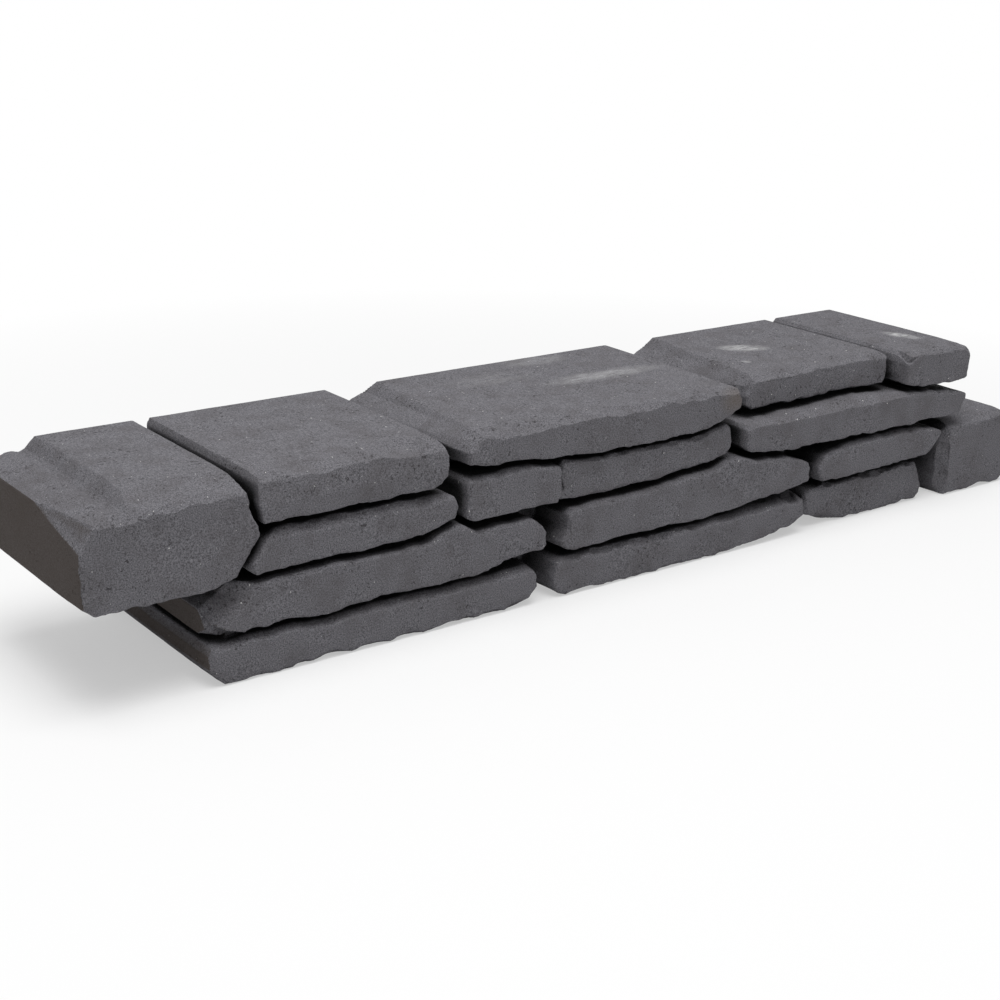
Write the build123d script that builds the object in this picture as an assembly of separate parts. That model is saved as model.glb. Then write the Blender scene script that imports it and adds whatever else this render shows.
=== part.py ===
from build123d import *
from dataclasses import dataclass
import os

# A garden walling block, cast in one piece from dark grey concrete. Its face is moulded as
# sixteen stones in four courses with deep open joints, so that one block looks like a panel
# of dry stone. The ends are stepped: a stone of the upper courses stands out at the left,
# one of the lower courses at the right, and each fits over or under that of the next block.
#
# Millimetres. X runs along the wall, Y into it and Z up. The face looks along -Y. The
# origin is at the bottom, in the middle of the overall length and of the depth.

# Overall sizes
height = 85.0            # bottom bed to top bed
depth = 100.0            # face to back
upper_length = 514.0     # courses three and four
left_tooth = 50.0        # the upper courses past the lower ones, at the left
right_tooth = 44.0       # the lower courses past the upper ones, at the right

# The moulded joints
joint_depth = 26.0       # from the face to the concrete behind the joints
groove_depth = 12.0      # joints carried over the beds and ends, right through to the back
draft = 0.5              # how far each side of a stone spreads on its way back
arris = 1.0              # worn edge round each stone's face
most_worn = 0.9          # share of a stone's shortest side that its arris takes, at most
bed_joint = 3.6          # height of a bed joint

# Bed lines: the middle of the joint between two courses. They rise with the block's height.
first_bed = height * 19.5 / 85
second_bed = height * 43 / 85
third_bed = height * 63.5 / 85
tooth_bed = height * 41.5 / 85     # the underside of the left stone

# Stones that are two courses high
left_stone_length = 70.0
right_stone_length = 57.0
tooth_clearance = 0.5    # from the right stone's top to the next block's left stone
foot_joint = 13.0        # the wide joint beside the right stone's foot
least_flat = 0.5         # what two corners leave of the side or bed between them, at least

# Ends of the courses
overall_length = upper_length + right_tooth
upper_start = -overall_length / 2
upper_end = upper_start + upper_length
lower_start = upper_start + left_tooth
lower_end = overall_length / 2
front = -depth / 2
back = depth / 2

# Beds that meet another block or the ground
right_stone_top = tooth_bed - tooth_clearance
outer_beds = (0, right_stone_top, tooth_bed, height)


@dataclass
class Stone:
    """One stone of the face. Each corner is a row of points measured inwards, side first.

    A break is the name of a corner and three points of the plane that a piece was struck off
    along. They are measured from that corner: in from the side, back from the stone's face,
    and in from the bed.
    """

    left: float
    right: float
    bottom: float
    top: float
    lower_left: list
    lower_right: list
    upper_right: list
    upper_left: list
    set_back: float = 0.0      # its face behind the face of the block
    breaks: tuple = ()


def cut(along, up):
    """A corner broken off straight, from a point on the side to a point on the bed."""
    return [(0, up), (along, 0)]


def brow(drop, run, tilt=0.0):
    """The top front edge broken off: down by drop, more by tilt 100 mm along, and back by run."""
    return ("upper_left", (0, 0, drop), (100, 0, drop + tilt), (0, run, 0))


def over(bed, rise=0.0):
    """The underside of a stone that lies over a bed line."""
    return bed + bed_joint / 2 + rise


def under(bed, rise=0.0):
    """The top of a stone under a bed line."""
    return bed - bed_joint / 2 + rise


def lay(start, end, stones):
    """Lays (joint, length, form) from start to end.

    The joints keep their widths, and the stones share out the rest in proportion.
    """
    room = end - start - sum(joint for joint, length, form in stones)
    share = room / sum(length for joint, length, form in stones)
    course = []
    place = start
    for joint, length, form in stones:
        left = place + joint
        place = left + length * share
        course.append(Stone(left=left, right=place, **form))
    return course


def share_left(room, first, second, way):
    """How far two corners shrink along x (way 0) or z (way 1) to fit into the room for them."""
    reach = max(point[way] for point in first) + max(point[way] for point in second)
    return min(1.0, (room - least_flat) / reach)


def corners_of(stone):
    """The stone's outline as points (x, z), anticlockwise as the face is seen.

    Where a stone is too short or too low for its corners, they are pressed in to fit.
    """
    length = stone.right - stone.left
    tall = stone.top - stone.bottom
    bottom = share_left(length, stone.lower_left, stone.lower_right, 0)
    top = share_left(length, stone.upper_left, stone.upper_right, 0)
    left = share_left(tall, stone.lower_left, stone.upper_left, 1)
    right = share_left(tall, stone.lower_right, stone.upper_right, 1)
    points = [(stone.left + x * bottom, stone.bottom + z * left) for x, z in stone.lower_left]
    for x, z in reversed(stone.lower_right):
        points.append((stone.right - x * bottom, stone.bottom + z * right))
    for x, z in stone.upper_right:
        points.append((stone.right - x * top, stone.top - z * right))
    for x, z in reversed(stone.upper_left):
        points.append((stone.left + x * top, stone.top - z * left))
    return points


def on_outside(start, end):
    """Whether an edge lies on a bed or an end of the block, which no draft moves."""
    on_bed = start[1] == end[1] and start[1] in outer_beds
    on_end = start[0] == end[0] and start[0] in (upper_start, lower_end)
    return on_bed or on_end


def arris_of(stone):
    """The worn edge round the stone's face, narrower where its shortest side can't hold it."""
    points = corners_of(stone)
    sides = [Vector(*end) - Vector(*start) for start, end in zip(points, points[1:] + points[:1])]
    ways = [side.normalized() for side in sides]
    turns = []
    for before, after in zip(ways[-1:] + ways[:-1], ways):
        turns.append(before.cross(after).Z / (1 + before.dot(after)))
    width = arris
    for side, turn, next_turn in zip(sides, turns, turns[1:] + turns[:1]):
        if turn + next_turn > 0:
            width = min(width, most_worn * side.length / (turn + next_turn))
    return width


def outline(stone, y, spread):
    """The stone's outline at one depth, with each edge moved out by spread."""
    points = corners_of(stone)
    edges = []
    for start, end in zip(points, points[1:] + points[:1]):
        along = (Vector(*end) - Vector(*start)).normalized()
        outward = Vector(along.Y, -along.X)
        move = 0 if spread > 0 and on_outside(start, end) else spread
        edges.append((Vector(*start) + outward * move, along))
    corners = []
    for (before, its_way), (after, next_way) in zip(edges[-1:] + edges[:-1], edges):
        run = (after - before).cross(next_way).Z / its_way.cross(next_way).Z
        corner = before + its_way * run
        corners.append((corner.X, y, corner.Y))
    return corners


def skin(sections):
    """A closed solid through outlines that have as many points each, joined by flat faces."""
    faces = [Face(Wire.make_polygon(sections[0])), Face(Wire.make_polygon(sections[-1]))]
    for near, far in zip(sections, sections[1:]):
        for i in range(len(near)):
            side = [near[i - 1], near[i], far[i], far[i - 1]]
            faces.append(Face(Wire.make_polygon(side)))
    return Solid(Shell(faces))


def strike(solid, stone, corner, *points):
    """Strikes a corner off a stone, along the plane through three points given from there."""
    side, inwards = (stone.left, 1) if "left" in corner else (stone.right, -1)
    bed, off_bed = (stone.bottom, 1) if "lower" in corner else (stone.top, -1)
    face = front + stone.set_back
    first, second, third = [
        Vector(side + inwards * along, face + deep, bed + off_bed * up) for along, deep, up in points
    ]
    outward = (second - first).cross(third - first)
    if outward.dot(Vector(side, face, bed) - first) < 0:
        outward = outward * -1
    return solid.split(Plane(origin=first, z_dir=outward), keep=Keep.BOTTOM)


def stone_solid(stone):
    """A stone from its worn face to the back, spreading a little down to the joint's floor."""
    face = front + stone.set_back
    worn = arris_of(stone)
    solid = skin([
        outline(stone, face, -worn),
        outline(stone, face + worn, 0),
        outline(stone, front + joint_depth, draft),
        outline(stone, back, draft),
    ])
    for corner, *points in stone.breaks:
        solid = strike(solid, stone, corner, *points)
    return solid


def left_stone():
    """The stone of the left tooth: a nose towards its neighbours and a ledge at its far end."""
    return Stone(
        left=upper_start,
        right=upper_start + left_stone_length,
        bottom=tooth_bed,
        top=height,
        lower_left=cut(6, 4),
        lower_right=[(-6.5, 19.5), (-1.5, 12.5), (5, 4), (12, 1.5), (22, 0)],
        upper_right=[(-6.5, 21), (-2, 12), (-1.5, 6), (1, 0)],
        upper_left=[(0, 7.5), (10, 5.8), (17, 5), (22.5, 1.2), (26, 0)],
        breaks=(brow(5, 17), ("upper_left", (5.6, 0, 8), (0, 0, 17), (0, 24, 11.6))),
    )


def right_stone():
    """The stone of the right tooth."""
    return Stone(
        left=lower_end - right_stone_length,
        right=lower_end,
        bottom=0,
        top=right_stone_top,
        lower_left=cut(2, 4),
        lower_right=cut(7, 4),
        upper_right=cut(6, 3),
        upper_left=cut(4, 5),
        breaks=(brow(2, 10), ("upper_left", (3, 0, 0), (3, 0, 40), (0, 6, 0))),
    )


def fourth_course():
    """The top course: a short stone, the longest one, one that sits back, and an end stone."""
    short = dict(
        bottom=over(third_bed),
        top=height,
        lower_left=cut(2, 8),
        lower_right=[(0, 11), (1.5, 4), (5, 2), (10, 0)],
        upper_right=[(0, 8), (1.5, 3.5), (3.5, 0)],
        upper_left=cut(1, 3),
        breaks=(brow(1.3, 14), ("upper_left", (0, 0, 13), (90, 0, 12), (0, 2, 0))),
    )
    longest = dict(
        bottom=over(third_bed, 1),
        top=height,
        lower_left=[(0, 6), (10, 4), (38, 3), (75, 0)],
        lower_right=[(0, 9), (1, 6.5), (11, 3), (30, 0)],
        upper_right=[(0, 6), (2.5, 1), (6, 0)],
        upper_left=[(0, 7), (4, 3), (8, 0)],
        breaks=(brow(1, 7), ("upper_left", (5.5, 6, 0), (16.4, 103, 0), (0, 103, 8))),
    )
    sunk = dict(
        bottom=over(third_bed, 3.5),
        top=height,
        lower_left=cut(4, 2),
        lower_right=cut(2, 3),
        upper_right=cut(2, 2),
        upper_left=[(0, 8), (1.5, 3), (4, 0)],
        set_back=10.0,
        breaks=(brow(1.2, 8), ("upper_left", (3, 0, 0), (16.4, 90, 0), (0, 90, 9))),
    )
    end = dict(
        bottom=over(third_bed),
        top=height,
        lower_left=[(0, 3), (4, 1.5), (12, 0)],
        lower_right=cut(1.5, 2),
        upper_right=[(0, 7), (1.2, 3), (6, 0)],
        upper_left=cut(2, 2),
        breaks=(brow(1.5, 6),),
    )
    stones = [(6, 93.2, short), (9.2, 163, longest), (13, 103, sunk), (6, 50.6, end)]
    return lay(upper_start + left_stone_length, upper_end, stones)


def third_course():
    """Four stones; only a crack parts the second from the third, which sits back a little."""
    first = dict(
        bottom=over(second_bed),
        top=under(third_bed),
        lower_left=cut(1.5, 1.5),
        lower_right=[(0, 8), (2, 4.5), (10, 2), (24, 0)],
        upper_right=[(0, 8), (3, 2), (10, 0)],
        upper_left=[(0, 13.5), (8.5, 3), (13, 0)],
        breaks=(brow(4, 4, -0.5),),
    )
    cube = dict(
        bottom=over(second_bed, 1.5),
        top=under(third_bed, 4.5),
        lower_left=cut(2.5, 1.5),
        lower_right=cut(1.5, 1.5),
        upper_right=[(0, 4), (3, 2.5), (17, 0)],
        upper_left=cut(1.5, 1.5),
        breaks=(brow(1.5, 3),),
    )
    shy = dict(
        bottom=over(second_bed, 1),
        top=under(third_bed, 4),
        lower_left=cut(2, 1),
        lower_right=[(0, 9), (3, 5.5), (16, 2.5), (45, 0.5), (60, 0)],
        upper_right=[(0, 8), (1.5, 2), (4, 0)],
        upper_left=[(0, 3.5), (2, 1.4), (24, 2.7), (80, 2.7), (100, 0)],
        set_back=3.0,
    )
    long = dict(
        bottom=over(second_bed, 1.5),
        top=under(third_bed, 3.5),
        lower_left=[(0, 7), (3, 4), (10, 2.2), (30, 0)],
        lower_right=cut(4, 8),
        upper_right=[(0, 8), (14, 4.5), (55, 1.5), (66, 0)],
        upper_left=[(0, 4), (2, 2), (35, 0)],
        breaks=(brow(2.5, 4, 1.0),),
    )
    stones = [(2, 101.8, first), (4.5, 52, cube), (1, 107.5, shy), (9.3, 165.9, long)]
    return lay(upper_start + left_stone_length, upper_end, stones)


def second_course(end):
    """Three stones; the first has a broad break under the left tooth.

    The first two have peaks that stand in the gaps between the stones above them.
    """
    broken = dict(
        bottom=over(first_bed, -0.3),
        top=under(second_bed, 4),
        lower_left=[(0, -1.3), (2, -1.8), (17, -1.8), (20, 0)],
        lower_right=[(0, 6), (2, 4), (16, 3.5), (40, 0)],
        upper_right=[(0, 12), (2, 9), (9, 4), (38, 3.5), (47, 0.5)],
        upper_left=[(0, 15), (16, 4), (108, 4), (117, 1.5), (122, 0)],
        breaks=(
            ("upper_left", (21.8, 0, 8.2), (8.8, 0, 20.2), (15.8, 9, 4)),
            ("lower_left", (0, 0, 6.5), (19, 0, -1.8), (0, 15, -1.8)),
        ),
    )
    leaning = dict(
        bottom=over(first_bed, 0.5),
        top=under(second_bed, 7),
        lower_left=[(0, 4), (1.2, 1.8), (5, 0)],
        lower_right=[(0, 8), (1.5, 4.5), (35, 2.5), (60, 0)],
        upper_right=[(0, 14), (2, 11), (15, 5), (40, 3.4), (52, 0)],
        upper_left=[(0, 21), (3.6, 15), (3.6, 9), (7, 6.7), (60, 5.7), (95, 3), (104, 0)],
    )
    narrow = dict(
        bottom=over(first_bed, 4.3),
        top=under(second_bed, 1.5),
        lower_left=cut(3, 5),
        lower_right=[(0, 10), (6, 4), (11, 0)],
        upper_right=[(0, 5), (6, 3), (22, 0)],
        upper_left=[(0, 10), (5, 3), (20, 0)],
        breaks=(brow(1.5, 3, 1.0),),
    )
    return lay(lower_start, end, [(0, 172.7, broken), (8.2, 163, leaning), (6.7, 96.8, narrow)])


def first_course(end):
    """Three stones that the block stands on."""
    first = dict(
        bottom=0,
        top=under(first_bed),
        lower_left=[(0, 13), (3, 6.4), (9, 0)],
        lower_right=[(0, 8), (5, 3), (12, 0)],
        upper_right=[(0, 8), (1, 4), (4, 0)],
        upper_left=cut(0.8, 0.6),
        breaks=(brow(2, 4, 0.3),),
    )
    rising = dict(
        bottom=0,
        top=under(first_bed, 3.5),
        lower_left=[(0, 5), (3, 1.5), (7, 0)],
        lower_right=[(0, 10), (9, 4.5), (60, 0)],
        upper_right=cut(4, 4),
        upper_left=[(0, 11), (2.2, 5), (5, 3), (100, 3), (135, 0)],
        breaks=(brow(4.5, 10),),
    )
    high = dict(
        bottom=0,
        top=under(first_bed, 4.5),
        lower_left=[(0, 13), (1.5, 7), (18, 1.5), (30, 0)],
        lower_right=cut(4, 4),
        upper_right=[(0, 12), (6, 0)],
        upper_left=[(0, 5), (4, 2.5), (14, 0)],
        set_back=4.0,
        breaks=(brow(1.2, 3, -0.3),),
    )
    return lay(lower_start, end, [(0, 168.8, first), (9.2, 164.4, rising), (3.6, 92, high)])


def body(left, right):
    """The concrete behind the joints. It stops short of the beds and ends by the groove's depth."""
    points = [
        (lower_start + groove_depth, groove_depth),
        (lower_end - groove_depth, groove_depth),
        (lower_end - groove_depth, right.top - bed_joint),
        (upper_end - groove_depth, right.top - bed_joint),
        (upper_end - groove_depth, height - groove_depth),
        (upper_start + groove_depth, height - groove_depth),
        (upper_start + groove_depth, left.bottom + bed_joint),
        (lower_start + groove_depth, left.bottom + bed_joint),
    ]
    floor = Face(Wire.make_polygon([(x, front + joint_depth, z) for x, z in points]))
    return extrude(floor, amount=depth - joint_depth, dir=(0, 1, 0))


def walling_block():
    """All the stones and the body behind their joints, as the one casting they are."""
    left = left_stone()
    right = right_stone()
    stones = [left, right]
    stones += first_course(right.left - foot_joint)
    stones += second_course(right.left - bed_joint)
    stones += third_course()
    stones += fourth_course()
    block = body(left, right)
    return block.fuse(*[stone_solid(stone) for stone in stones])


os.makedirs("parts", exist_ok=True)
export_step(walling_block(), "parts/walling_block.step")
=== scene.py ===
import math
import random

import bmesh
import bpy
import numpy as np
from mathutils import Matrix, Vector


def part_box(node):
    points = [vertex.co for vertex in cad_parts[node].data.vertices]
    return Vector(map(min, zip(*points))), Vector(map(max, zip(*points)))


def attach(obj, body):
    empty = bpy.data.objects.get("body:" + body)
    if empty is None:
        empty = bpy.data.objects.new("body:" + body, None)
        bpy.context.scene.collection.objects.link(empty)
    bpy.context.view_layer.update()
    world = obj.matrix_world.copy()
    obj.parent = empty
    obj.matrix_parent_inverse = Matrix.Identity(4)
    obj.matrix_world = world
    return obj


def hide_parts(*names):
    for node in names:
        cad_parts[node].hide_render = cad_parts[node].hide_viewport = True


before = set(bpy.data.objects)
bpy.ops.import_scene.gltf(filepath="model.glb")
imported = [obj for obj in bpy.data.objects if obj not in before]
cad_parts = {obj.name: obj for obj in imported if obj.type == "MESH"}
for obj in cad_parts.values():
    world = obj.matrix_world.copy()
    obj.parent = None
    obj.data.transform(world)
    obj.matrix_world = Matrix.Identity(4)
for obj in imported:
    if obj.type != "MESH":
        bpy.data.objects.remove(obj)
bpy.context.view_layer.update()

# The walling block. The real one is one casting of dark grey concrete, whose mould was taken
# from split stone: flat beds and back, and a face of sixteen stones with broken edges and
# deep open joints. The solid gives the stones; the breaks and the texture are made here.
MM = 0.001
SAME_POINT = 0.001 * MM     # the CAD mesh's corners that are closer than this are one
SKIN_VOXEL = 0.7 * MM
BLOCK_TRIANGLES = 192000
block_low, block_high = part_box("walling_block")
FACE_Y = block_low[1]
BACK_Y = block_high[1]
TOP_Z = block_high[2]


def linked(name, data):
    """An object that holds a mesh, a lamp or a camera, linked into the scene."""
    item = bpy.data.objects.new(name, data)
    bpy.context.scene.collection.objects.link(item)
    return item


def bar(name, outline, start, end):
    """A closed bar of an outline in x and z carried along Y, all in mm."""
    corners = [(x * MM, y * MM, z * MM) for y in (start, end) for x, z in outline]
    count = len(outline)
    sides = [(i, (i + 1) % count, count + (i + 1) % count, count + i) for i in range(count)]
    mesh = bpy.data.meshes.new(name)
    mesh.from_pydata(corners, [], [tuple(range(count)), tuple(range(count, 2 * count)), *sides])
    closed = bmesh.new()
    closed.from_mesh(mesh)
    bmesh.ops.recalc_face_normals(closed, faces=closed.faces)
    closed.to_mesh(mesh)
    closed.free()
    return linked(name, mesh)


def merged(mesh):
    """A mesh of loose triangles as a bmesh whose faces share their corners."""
    joined = bmesh.new()
    joined.from_mesh(mesh)
    bmesh.ops.remove_doubles(joined, verts=joined.verts, dist=SAME_POINT)
    return joined


def dense_copy(node, voxel, cutters):
    """A closed copy of a CAD node's mesh, less the cutters, with points about a voxel apart."""
    mesh = node.data.copy()
    joined = merged(mesh)
    joined.to_mesh(mesh)
    joined.free()
    rough = linked("rough", mesh)
    for cutter in cutters:
        cut = rough.modifiers.new(cutter.name, "BOOLEAN")
        cut.operation = "DIFFERENCE"
        cut.solver = "EXACT"
        cut.object = cutter
    remesh = rough.modifiers.new("voxels", "REMESH")
    remesh.mode = "VOXEL"
    remesh.voxel_size = voxel
    graph = bpy.context.evaluated_depsgraph_get()
    dense = bpy.data.meshes.new_from_object(rough.evaluated_get(graph))
    for used in (rough, *cutters):
        bpy.data.objects.remove(used)
    return dense


def vertex_rows(mesh, attribute):
    """The points or the normals of a mesh, as rows of x, y and z."""
    values = np.empty(len(mesh.vertices) * 3)
    mesh.vertices.foreach_get(attribute, values)
    return values.reshape(-1, 3)


# The broken stone under the left tooth: its bed joint gapes at the front and runs on round
# the left end. Both bars start outside the block.
gaping_joint = bar(
    "gaping_joint",
    [(-232, 17.3), (-214, 17.5), (-209, 18.2), (-209, 20.2), (-212.5, 20.5), (-221.5, 24.3),
     (-226, 25.8), (-232, 27)],
    start=-51, end=-42,
)
end_joint = bar(
    "end_joint",
    [(-232, 17.2), (-218, 17.4), (-218, 19.5), (-232, 19.7)],
    start=-51, end=51,
)
block_mesh = dense_copy(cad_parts["walling_block"], SKIN_VOXEL, [gaping_joint, end_joint])
points = vertex_rows(block_mesh, "co")
normals = vertex_rows(block_mesh, "normal")
by_x = np.argsort(points[:, 0])
sorted_x = points[by_x, 0]

# Flakes off the edges of the stones' faces: broad and jagged ones where the top bed meets
# the face, shallow ones on the worn strip along there, some under the block, and small ones
# all round.
EDGE_REACH = 20 * MM        # how far behind the face an edge may lie
SIDE_REACH = 1.2 * MM       # how far out past its stone's side a flake's points may lie
TOP_BAND = 8 * MM           # below the top bed
FOOT_BAND = 4 * MM          # above the block's bottom
BED_FACING = 0.9            # the least upward part of a bed's normal
UNDER_FACING = -0.7         # the most upward part of an underside's normal
FRONT_FACING = -0.4         # a side's normal turns less to the front than this
FLAT_ANGLE = math.radians(4)
BLUNT_ANGLE = math.radians(18)
breaks = random.Random(7)


def face_edges(node):
    """The edges round the stones' faces, as (start, end, side's normal, the other's normal)."""
    joined = merged(node.data)
    edges = []
    for edge in joined.edges:
        if len(edge.link_faces) != 2 or edge.calc_face_angle() < FLAT_ANGLE:
            continue
        start, end = edge.verts[0].co.copy(), edge.verts[1].co.copy()
        if max(start.y, end.y) > FACE_Y + EDGE_REACH or abs(start.y - end.y) > 1 * MM:
            continue
        other, side = sorted((face.normal.copy() for face in edge.link_faces),
                             key=lambda normal: normal.y)
        if side.y > FRONT_FACING:
            edges.append((start, end, side, other))
    joined.free()
    return edges


def knock(at, outward, depth, radius, side, least_facing=-0.45):
    """Breaks a shallow flake off an edge: points inside a ball go back to its far surface.

    Only this stone's points move, so those well past its side stay, and so do those whose
    normals have too little of the ball's direction in them."""
    outward = np.array(Vector(outward).normalized())
    middle = np.array(at) + outward * (radius - depth)
    half_width = 1.5 * math.sqrt(2 * radius * depth)    # of the flake, and half as much to spare
    first, last = np.searchsorted(sorted_x, (at[0] - half_width, at[0] + half_width))
    chosen = by_x[first:last]
    away = points[chosen] - middle
    own = (points[chosen] - np.array(at)) @ np.array(side) < SIDE_REACH
    own &= normals[chosen] @ outward > least_facing
    own &= (away ** 2).sum(axis=1) < radius ** 2
    chosen, away = chosen[own], away[own]
    over = away @ outward
    run = over + np.sqrt(over ** 2 + radius ** 2 - (away ** 2).sum(axis=1))
    points[chosen] -= run[:, None] * outward


def flakes(edge, spacing, forward, upward, depth, radius, strip=0):
    """Knocks at random places along an edge, one per spacing, in mm.

    forward, depth and radius are ranges; strip is how far in front of the edge they may lie."""
    start, end, side, other = edge
    for step in range(round((end - start).length / (spacing * MM))):
        at = start.lerp(end, breaks.random())
        if strip:
            at = at - Vector((0, breaks.uniform(0, strip) * MM, 0))
        knock(at, (0, -breaks.uniform(*forward), upward),
              breaks.uniform(*depth) * MM, breaks.uniform(*radius) * MM, side)


for edge in face_edges(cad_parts["walling_block"]):
    start, end, side, other = edge
    on_top = side.z > BED_FACING and start.z > TOP_Z - TOP_BAND
    if on_top and other.z > BED_FACING:
        flakes(edge, 5, (0.15, 0.6), 1, (0.4, 1.3), (9, 24), strip=6)
        continue
    if side.angle(other) < BLUNT_ANGLE:
        continue
    if on_top:
        flakes(edge, 10, (0.3, 0.9), 1, (0.6, 2.2), (10, 40))
        flakes(edge, 2.2, (0.6, 1.6), 1, (0.2, 1.0), (2.5, 7))
    if side.z < UNDER_FACING and start.z < FOOT_BAND:
        flakes(edge, 10, (0.3, 1.2), -1, (0.4, 2.0), (6, 30))
    for step in range(max(1, round((end - start).length / (6 * MM)))):
        outward = Vector((0, -1, 0)) * breaks.uniform(0.3, 1.6) + side
        knock(start.lerp(end, breaks.random()), outward, (0.2 + 0.7 * breaks.random() ** 2) * MM,
              breaks.uniform(5, 14) * MM, side, least_facing=-0.15)

STEEP_SHARE = 0.35          # of a ledge's width, the part that its step takes
FRONT_STEP = 0.4            # a ledge's step at the face, as a share of the step at the back


def ledge(left, front_y, front_width, back_width, step, fall):
    """Turns the chamfer at a top stone's left side into a steep step with a shelf below it."""
    y_share = np.clip((points[:, 1] - front_y) / (BACK_Y - front_y), 0, 1)
    width = front_width + (back_width - front_width) * y_share
    along = points[:, 0] - left
    shelf = (1 - STEEP_SHARE) * width
    steep = np.clip((width - along) / (STEEP_SHARE * width), 0, 1)
    gentle = np.clip((shelf - along) / shelf, 0, 1)
    roof = TOP_Z - (FRONT_STEP + (1 - FRONT_STEP) * y_share) * step * steep - fall * gentle
    near = (along > -1 * MM) & (along < width) & (points[:, 1] > front_y + 2 * MM)
    near &= (normals[:, 2] > 0.2) & (points[:, 2] > roof)
    points[near, 2] = roof[near]


# The long chamfers of the third and fourth top stones
ledge(left=-0.1006, front_y=-0.050, front_width=8 * MM, back_width=17 * MM,
      step=4.2 * MM, fall=3.2 * MM)
ledge(left=0.0754, front_y=-0.040, front_width=5 * MM, back_width=17 * MM,
      step=4.4 * MM, fall=3.2 * MM)

# The left tooth's ledge: a steep riser with a groove at its foot, in mm from the block's
# left end and down from the top bed
RISER_PLACES = (12, 15, 17.5, 20, 24.5, 26)
RISER_DROPS = (0, 5.0, 5.9, 4.7, 0.7, -1)
from_end = (points[:, 0] - block_low[0]) / MM + 0.4 * np.sin(points[:, 1] / (6 * MM))
roof = TOP_Z - np.interp(from_end, RISER_PLACES, RISER_DROPS) * MM
near = (from_end > 15) & (from_end < 25) & (points[:, 1] > -46 * MM) & (points[:, 2] > roof)
points[near, 2] = roof[near]

# Under the left tooth the stones' ends stand back from the foot of the block
LEAN_START_X = -200 * MM
LOWER_END_X = -232 * MM     # just past the lower courses' left end; the tooth lies beyond
LEAN = 0.12                 # how far an end stands back, as a share of its way past the start
above_foot = np.clip((points[:, 2] - 8 * MM) / (9 * MM), 0, 1)
below_tooth = np.clip((40 * MM - points[:, 2]) / (4 * MM), 0, 1)
lifted = above_foot * below_tooth
past = np.minimum(points[:, 0] - LEAN_START_X, 0)
points[:, 0] -= np.where(points[:, 0] > LOWER_END_X, LEAN * lifted * past, 0)

block_mesh.vertices.foreach_set("co", points.ravel())
block_mesh.update()


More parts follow.
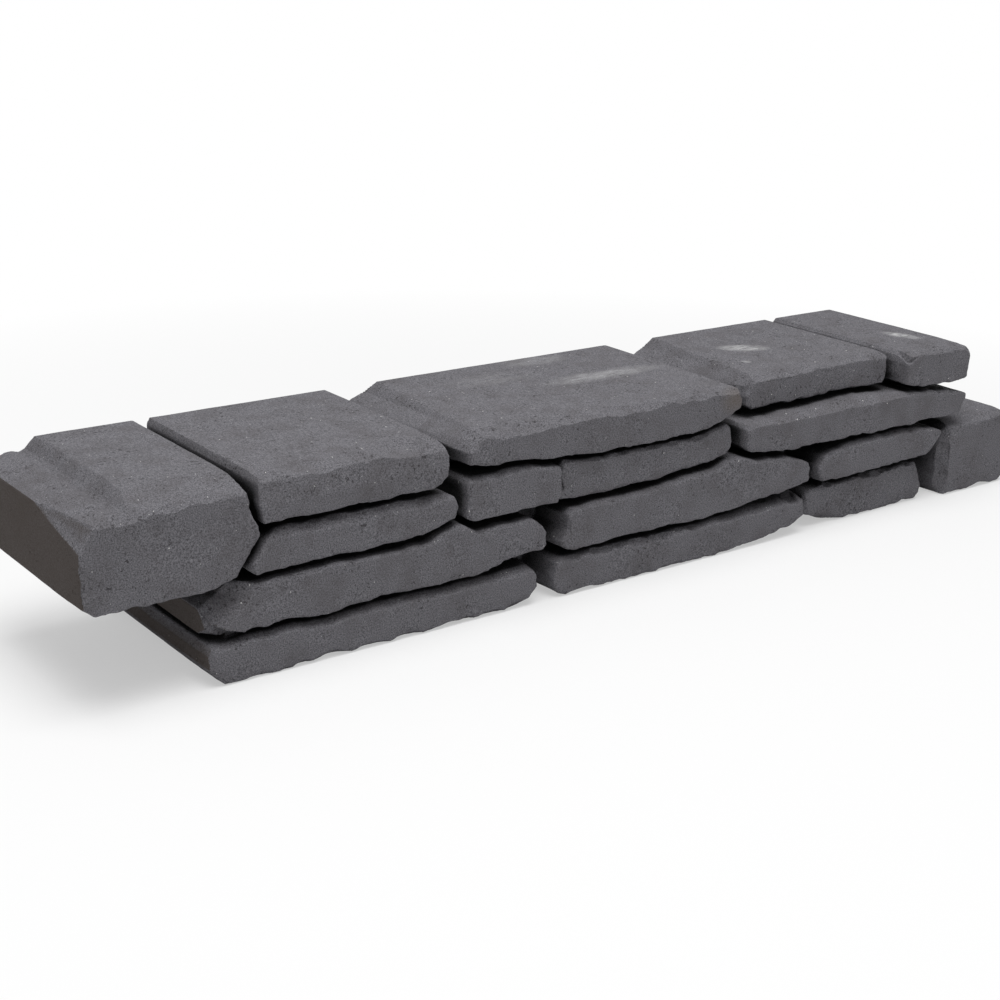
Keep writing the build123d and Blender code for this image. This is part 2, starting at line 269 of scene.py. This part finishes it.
def relief_tree():
    """Warps the stones' outlines into ragged lines and moves the skin in shallow waves."""
    tree = bpy.data.node_groups.new("split_stone_relief", "GeometryNodeTree")
    sockets = tree.interface
    sockets.new_socket("Geometry", in_out="INPUT", socket_type="NodeSocketGeometry")
    for name in ("Seed", "Warp Height", "Warp Length", "Ragged Height", "Ragged Length",
                 "Wave Height", "Wave Length", "Wave Depth", "Least Wave", "Bed Margin"):
        sockets.new_socket(name, in_out="INPUT", socket_type="NodeSocketFloat")
    sockets.new_socket("Low", in_out="INPUT", socket_type="NodeSocketVector")
    sockets.new_socket("High", in_out="INPUT", socket_type="NodeSocketVector")
    sockets.new_socket("Material", in_out="INPUT", socket_type="NodeSocketMaterial")
    sockets.new_socket("Geometry", in_out="OUTPUT", socket_type="NodeSocketGeometry")
    nodes, links = tree.nodes, tree.links
    given = nodes.new("NodeGroupInput").outputs
    place = nodes.new("GeometryNodeInputPosition").outputs[0]
    normal = nodes.new("GeometryNodeInputNormal").outputs[0]

    def node_of(kind, operation, *values):
        node = nodes.new(kind)
        node.operation = operation
        for socket, value in zip(node.inputs, values):
            if isinstance(value, bpy.types.NodeSocket):
                links.new(value, socket)
            else:
                socket.default_value = value
        return node.outputs[0]

    def number(operation, *values):
        return node_of("ShaderNodeMath", operation, *values)

    def vector(operation, *values):
        return node_of("ShaderNodeVectorMath", operation, *values)

    def scaled(direction, height):
        node = nodes.new("ShaderNodeVectorMath")
        node.operation = "SCALE"
        links.new(direction, node.inputs[0])
        links.new(height, node.inputs["Scale"])
        return node.outputs[0]

    def noise_at(spot, length, detail, output):
        texture = nodes.new("ShaderNodeTexNoise")
        texture.noise_dimensions = "4D"
        texture.inputs["Detail"].default_value = detail
        links.new(spot, texture.inputs["Vector"])
        links.new(given["Seed"], texture.inputs["W"])
        links.new(number("DIVIDE", 1.0, given[length]), texture.inputs["Scale"])
        return texture.outputs[output]

    def shifted(spot, name, detail):
        """A random shift of the Height and Length inputs that start with a name."""
        centred = vector("SUBTRACT", noise_at(spot, name + " Length", detail, "Color"), (0.5, 0.5, 0.5))
        return scaled(centred, given[name + " Height"])

    # The shifts are the same all the way back, so that the joints stay open, and die out
    # towards the beds and the ends
    flat = vector("MULTIPLY", place, (1, 0, 1))
    shift = vector("ADD", shifted(flat, "Warp", 1.0), shifted(flat, "Ragged", 1.5))
    from_bed = vector("MINIMUM", vector("SUBTRACT", place, given["Low"]),
                      vector("SUBTRACT", given["High"], place))
    share = scaled(from_bed, number("DIVIDE", 1.0, given["Bed Margin"]))
    held = vector("MULTIPLY", vector("MINIMUM", share, (1, 1, 1)), (1, 0, 1))
    outline = vector("MULTIPLY", shift, held)

    # The waves die down behind the face
    wave = number("MULTIPLY", number("SUBTRACT", noise_at(place, "Wave Length", 2.5, 0), 0.5),
                  given["Wave Height"])
    parts = nodes.new("ShaderNodeSeparateXYZ")
    links.new(vector("SUBTRACT", place, given["Low"]), parts.inputs[0])
    behind = number("DIVIDE", parts.outputs["Y"], given["Wave Depth"])
    wave = number("MULTIPLY", wave,
                  number("MAXIMUM", number("SUBTRACT", 1.0, behind), given["Least Wave"]))
    moved = vector("ADD", vector("ADD", place, outline), scaled(normal, wave))
    placed = nodes.new("GeometryNodeSetPosition")
    links.new(given["Geometry"], placed.inputs["Geometry"])
    links.new(moved, placed.inputs["Position"])
    realized = nodes.new("GeometryNodeRealizeInstances")
    links.new(placed.outputs[0], realized.inputs[0])
    finished = nodes.new("GeometryNodeSetMaterial")
    links.new(realized.outputs[0], finished.inputs["Geometry"])
    links.new(given["Material"], finished.inputs["Material"])
    links.new(finished.outputs[0], nodes.new("NodeGroupOutput").inputs[0])
    return tree


def concrete():
    """Dark grey concrete: sandy grain, dark pits, pale flecks and lime bloom, with a browner left end,
    and painted shade on that end and in the joints.
    """
    sand_dark = (0.070, 0.067, 0.073)
    sand_pale = (0.202, 0.199, 0.216)
    damp_grey = (0.088, 0.082, 0.086)
    pit_dark = (0.040, 0.037, 0.039)
    fleck_white = (0.62, 0.61, 0.60)
    lime_white = (0.52, 0.52, 0.52)
    rust_brown = (0.13, 0.105, 0.085)
    # painted shade, partly a brown tint, for the side at the left end
    end_brown_shade = (0.060, 0.048, 0.040)
    # painted shade deep in the joints
    joint_shade_black = (0.004, 0.004, 0.004)

    material = bpy.data.materials.new("concrete")
    material.use_nodes = True
    nodes, links = material.node_tree.nodes, material.node_tree.links
    shader = nodes["Principled BSDF"]
    shader.inputs["Roughness"].default_value = 0.92
    shader.inputs["Specular IOR Level"].default_value = 0.1
    place = nodes.new("ShaderNodeTexCoord").outputs["Object"]

    def speckle(scale, detail, rough=0.5, spot=None):
        texture = nodes.new("ShaderNodeTexNoise")
        texture.inputs["Scale"].default_value = scale
        texture.inputs["Detail"].default_value = detail
        texture.inputs["Roughness"].default_value = rough
        links.new(spot or place, texture.inputs["Vector"])
        return texture.outputs[0]

    def spread(value, low, high, to_low=0.0, to_high=1.0):
        node = nodes.new("ShaderNodeMapRange")
        node.inputs["From Min"].default_value = low
        node.inputs["From Max"].default_value = high
        node.inputs["To Min"].default_value = to_low
        node.inputs["To Max"].default_value = to_high
        links.new(value, node.inputs["Value"])
        return node.outputs[0]

    def combined(operation, one, other):
        node = nodes.new("ShaderNodeMath")
        node.operation = operation
        links.new(one, node.inputs[0])
        links.new(other, node.inputs[1])
        return node.outputs[0]

    def mixed(share, under, colour):
        node = nodes.new("ShaderNodeMix")
        node.data_type = "RGBA"
        links.new(share, node.inputs[0])
        links.new(under, node.inputs[6])
        node.inputs[7].default_value = (*colour, 1)
        return node.outputs[2]

    def patch(middle, half_size, turn=0):
        """1 in the middle of an ellipsoid, 0 at its rim."""
        mapping = nodes.new("ShaderNodeMapping")
        mapping.vector_type = "TEXTURE"
        mapping.inputs["Location"].default_value = [value * MM for value in middle]
        mapping.inputs["Rotation"].default_value = (0, 0, math.radians(turn))
        mapping.inputs["Scale"].default_value = [value * MM for value in half_size]
        links.new(place, mapping.inputs["Vector"])
        length = nodes.new("ShaderNodeVectorMath")
        length.operation = "LENGTH"
        links.new(mapping.outputs[0], length.inputs[0])
        return spread(length.outputs["Value"], 0.2, 1.0, 1.0, 0.0)

    grain = nodes.new("ShaderNodeValToRGB")
    for stop, position, sand in zip(grain.color_ramp.elements, (0.36, 0.64), (sand_dark, sand_pale)):
        stop.position = position
        stop.color = (*sand, 1)
    links.new(speckle(1700, 3, 0.7), grain.inputs[0])
    colour = grain.outputs[0]

    # Broad uneven tone, then dark pits in groups and a few pale grains of sand
    colour = mixed(spread(speckle(70, 4, 0.6), 0.45, 0.72, 0.0, 0.55), colour, damp_grey)
    pits = combined("MULTIPLY", spread(speckle(620, 2, 0.6), 0.60, 0.68),
                    spread(speckle(60, 2), 0.45, 0.60))
    colour = mixed(spread(pits, 0.0, 1.0, 0.0, 0.75), colour, pit_dark)
    colour = mixed(spread(speckle(760, 1), 0.775, 0.80), colour, fleck_white)

    # Lime bloom on three of the top stones, as (middle, half size, turn, strength) in mm and
    # degrees, broken up by streaks along the block; and a brown stain
    blooms = (
        ((18, 3, 85), (42, 9, 9), 0, 0.40),
        ((6, 42, 85), (24, 9, 9), 0, 0.25),
        ((-34, 24, 85), (30, 12, 9), 0, 0.12),
        ((118, 7, 85), (16, 8, 9), -27, 0.75),
        ((98, -15, 85), (3, 3, 9), 0, 0.50),
        ((215, -17, 85), (13, 6, 9), -73, 0.85),
    )
    drawn_out = nodes.new("ShaderNodeMapping")
    drawn_out.inputs["Scale"].default_value = (0.3, 1, 1)
    links.new(place, drawn_out.inputs["Vector"])
    streaks = spread(speckle(260, 6, 0.75, drawn_out.outputs[0]), 0.34, 0.64)
    for middle, half_size, turn, strength in blooms:
        broken = combined("MULTIPLY", patch(middle, half_size, turn), streaks)
        colour = mixed(spread(broken, 0.0, 0.8, 0.0, strength), colour, lime_white)
    stain = spread(patch((57, -49, 79), (12, 9, 8)), 0.0, 1.0, 0.0, 0.5)
    colour = mixed(stain, colour, rust_brown)

    # The left end is browner and darker: a brown tint together with painted shade on the side that
    # faces away from the light
    facing = nodes.new("ShaderNodeSeparateXYZ")
    links.new(nodes.new("ShaderNodeNewGeometry").outputs["Normal"], facing.inputs[0])
    inside = nodes.new("ShaderNodeSeparateXYZ")
    links.new(place, inside.inputs[0])
    left_end_shade = combined("MULTIPLY", spread(facing.outputs["X"], -0.86, -0.96),
                        spread(inside.outputs["X"], -208 * MM, -216 * MM, 0.0, 0.8))
    colour = mixed(left_end_shade, colour, end_brown_shade)

    # Painted shade: the joints turn black a little way in, where little of the sky shows, and some way,
    # in metres, from the face, the top bed and the left end alike
    from_face = spread(inside.outputs["Y"], block_low[1], block_low[1] + 1.0)
    from_top = spread(inside.outputs["Z"], block_high[2], block_high[2] - 1.0)
    from_left = spread(inside.outputs["X"], block_low[0], block_low[0] + 1.0)
    way_in = combined("MINIMUM", combined("MINIMUM", from_face, from_top), from_left)
    open_sky = nodes.new("ShaderNodeAmbientOcclusion")
    open_sky.samples = 8
    open_sky.only_local = True
    open_sky.inputs["Distance"].default_value = 22 * MM
    dark = combined("MULTIPLY", spread(open_sky.outputs["AO"], 0.47, 0.28),
                    spread(way_in, 1.5 * MM, 6 * MM))
    colour = mixed(spread(dark, 0.0, 1.0, 0.0, 0.97), colour, joint_shade_black)
    links.new(colour, shader.inputs["Base Color"])

    # The grain stands proud and the pits are sunk
    bump = nodes.new("ShaderNodeBump")
    bump.inputs["Strength"].default_value = 0.8
    bump.inputs["Distance"].default_value = 0.3 * MM
    links.new(speckle(1300, 3, 0.65), bump.inputs["Height"])
    dents = nodes.new("ShaderNodeBump")
    dents.invert = True
    dents.inputs["Strength"].default_value = 0.8
    dents.inputs["Distance"].default_value = 0.4 * MM
    links.new(pits, dents.inputs["Height"])
    links.new(bump.outputs[0], dents.inputs["Normal"])
    links.new(dents.outputs[0], shader.inputs["Normal"])
    return material


block = linked("block", block_mesh)
relief = block.modifiers.new("relief", "NODES")
relief.node_group = relief_tree()
block_settings = {
    "Seed": 3.0,
    "Warp Height": 4.0 * MM,
    "Warp Length": 18.0 * MM,
    "Ragged Height": 1.2 * MM,
    "Ragged Length": 6.0 * MM,
    "Wave Height": 2.0 * MM,
    "Wave Length": 16.0 * MM,
    "Wave Depth": 30.0 * MM,
    "Least Wave": 0.15,
    "Bed Margin": 5.0 * MM,
    "Low": block_low,
    "High": block_high,
    "Material": concrete(),
}
for item in relief.node_group.interface.items_tree:
    if item.in_out == "INPUT" and item.name in block_settings:
        relief[item.identifier] = block_settings[item.name]
thin = block.modifiers.new("thin", "DECIMATE")
thin.ratio = min(1.0, BLOCK_TRIANGLES / (2 * len(block_mesh.polygons)))
graph = bpy.context.evaluated_depsgraph_get()
finished_mesh = bpy.data.meshes.new_from_object(block.evaluated_get(graph))
block.modifiers.clear()
block.data = finished_mesh

# The relief keeps within the block's box, and its creases stay sharp
SHARP_ANGLE = math.radians(16)
points = np.clip(vertex_rows(finished_mesh, "co"), block_low, block_high)
finished_mesh.vertices.foreach_set("co", points.ravel())
finished_mesh.polygons.foreach_set("use_smooth", [True] * len(finished_mesh.polygons))
finished_mesh.set_sharp_from_angle(angle=SHARP_ANGLE)

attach(block, "root")
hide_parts("walling_block")

# The floor under the block: pale and plain, white to the camera away from the block's shadow.
# It lies a hair under the block's bed, so that the two don't share a plane.
FLOOR_HALF = 4.0
FLOOR_Z = -0.2 * MM
floor_mesh = bpy.data.meshes.new("floor")
floor_mesh.from_pydata([(-FLOOR_HALF, -FLOOR_HALF, FLOOR_Z), (FLOOR_HALF, -FLOOR_HALF, FLOOR_Z),
                        (FLOOR_HALF, FLOOR_HALF, FLOOR_Z), (-FLOOR_HALF, FLOOR_HALF, FLOOR_Z)],
                       [], [(0, 1, 2, 3)])
floor = linked("floor", floor_mesh)


def seen_directly(nodes, links):
    """1 for rays from the camera, a reflection or glass, and 0 for those that carry light."""
    rays = nodes.new("ShaderNodeLightPath").outputs
    seen = rays["Is Camera Ray"]
    for kind in ("Is Glossy Ray", "Is Transmission Ray"):
        either = nodes.new("ShaderNodeMath")
        either.operation = "MAXIMUM"
        links.new(seen, either.inputs[0])
        links.new(rays[kind], either.inputs[1])
        seen = either.outputs[0]
    return seen


def pale_floor():
    """A pale floor whose shadow shows near the block and fades to white further off."""
    shadow_reach = 0.30     # metres from the block's middle
    white_from = 0.62
    white_share = 0.45      # of the white that shows within the shadow's reach
    material = bpy.data.materials.new("pale_floor")
    material.use_nodes = True
    nodes, links = material.node_tree.nodes, material.node_tree.links
    shader = nodes["Principled BSDF"]
    shader.inputs["Base Color"].default_value = (0.8, 0.8, 0.8, 1)
    shader.inputs["Roughness"].default_value = 1.0
    shader.inputs["Specular IOR Level"].default_value = 0.0
    white = nodes.new("ShaderNodeEmission")
    white.inputs["Color"].default_value = (1, 1, 1, 1)
    white.inputs["Strength"].default_value = 1.0
    distance = nodes.new("ShaderNodeVectorMath")
    distance.operation = "LENGTH"
    links.new(nodes.new("ShaderNodeTexCoord").outputs["Object"], distance.inputs[0])
    fade = nodes.new("ShaderNodeMapRange")
    fade.inputs["From Min"].default_value = shadow_reach
    fade.inputs["From Max"].default_value = white_from
    fade.inputs["To Min"].default_value = white_share
    links.new(distance.outputs["Value"], fade.inputs["Value"])
    shown = nodes.new("ShaderNodeMath")
    shown.operation = "MULTIPLY"
    links.new(fade.outputs[0], shown.inputs[0])
    links.new(seen_directly(nodes, links), shown.inputs[1])
    mix = nodes.new("ShaderNodeMixShader")
    links.new(shown.outputs[0], mix.inputs[0])
    links.new(shader.outputs[0], mix.inputs[1])
    links.new(white.outputs[0], mix.inputs[2])
    links.new(mix.outputs[0], nodes["Material Output"].inputs["Surface"])
    return material


floor.data.materials.append(pale_floor())

# The light: an even pale room, which the camera sees as white, and a wide soft panel
# overhead, a little to the left and in front.
ROOM_STRENGTH = 0.385
world = bpy.data.worlds.new("room")
bpy.context.scene.world = world
world.use_nodes = True
room_nodes, room_links = world.node_tree.nodes, world.node_tree.links
room = room_nodes["Background"]
room.inputs["Color"].default_value = (1, 1, 1, 1)
room_strength = room_nodes.new("ShaderNodeMapRange")
room_strength.inputs["To Min"].default_value = ROOM_STRENGTH
room_strength.inputs["To Max"].default_value = 1.0
room_links.new(seen_directly(room_nodes, room_links), room_strength.inputs["Value"])
room_links.new(room_strength.outputs[0], room.inputs["Strength"])

PANEL_PLACE = Vector((-0.2, -0.25, 1.7))
panel_lamp = bpy.data.lights.new("overhead", "AREA")
panel_lamp.shape = "SQUARE"
panel_lamp.size = 1.2
panel_lamp.energy = 29
panel = linked("overhead", panel_lamp)
panel.location = PANEL_PLACE
panel.rotation_euler = (-PANEL_PLACE).to_track_quat("-Z", "Y").to_euler()

# The camera: the photograph's place and angle, from the block's straight edges in it.
CAMERA_PLACE = (-0.5093, -0.6048, 0.2934)
CAMERA_TURN = math.radians(37.45)
CAMERA_DOWN = math.radians(18.90)
CAMERA_LEAN = math.radians(1.63)
lens = bpy.data.cameras.new("camera")
lens.sensor_width = 36
lens.lens = 60.69
camera = linked("camera", lens)
camera.matrix_world = (
    Matrix.Translation(CAMERA_PLACE)
    @ Matrix.Rotation(-CAMERA_TURN, 4, "Z")
    @ Matrix.Rotation(math.pi / 2 - CAMERA_DOWN, 4, "X")
    @ Matrix.Rotation(CAMERA_LEAN, 4, "Z")
)
bpy.context.scene.camera = camera
bpy.context.scene.view_settings.view_transform = "Standard"
